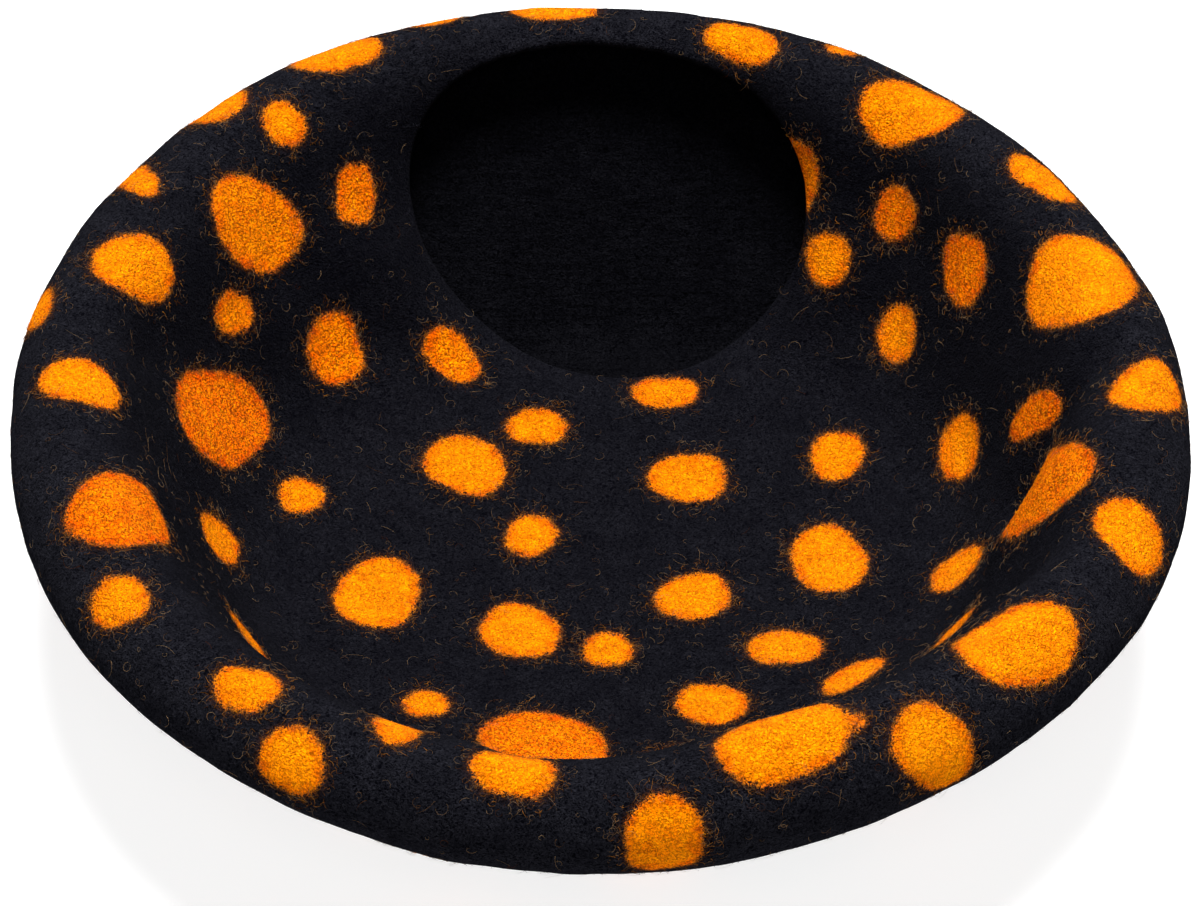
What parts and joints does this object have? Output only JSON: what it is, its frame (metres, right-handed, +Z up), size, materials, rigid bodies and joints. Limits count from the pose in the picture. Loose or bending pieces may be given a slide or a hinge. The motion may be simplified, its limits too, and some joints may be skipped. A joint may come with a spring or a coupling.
{
  "type": "felt cat cave",
  "caption": "Round wool felt cat cave with its top pressed in, so that it lies as an open bed with a rolled rim, a bowl and a round entrance in the bowl's back slope.",
  "frame": {"origin": "centre of the bounding box, on the ground face", "axes": "+Z up, +Y towards the back slope that holds the entrance, +X to the right as seen from the front"},
  "size_m": [0.5214, 0.5182, 0.1461],
  "materials": {
    "felt": "thick charcoal wool felt, wet felted in one piece with soft-edged orange wool dots, matt with a short curly fuzz"
  },
  "bodies": {
    "root": {"felt_shell": "felt"}
  },
  "joints": []
}
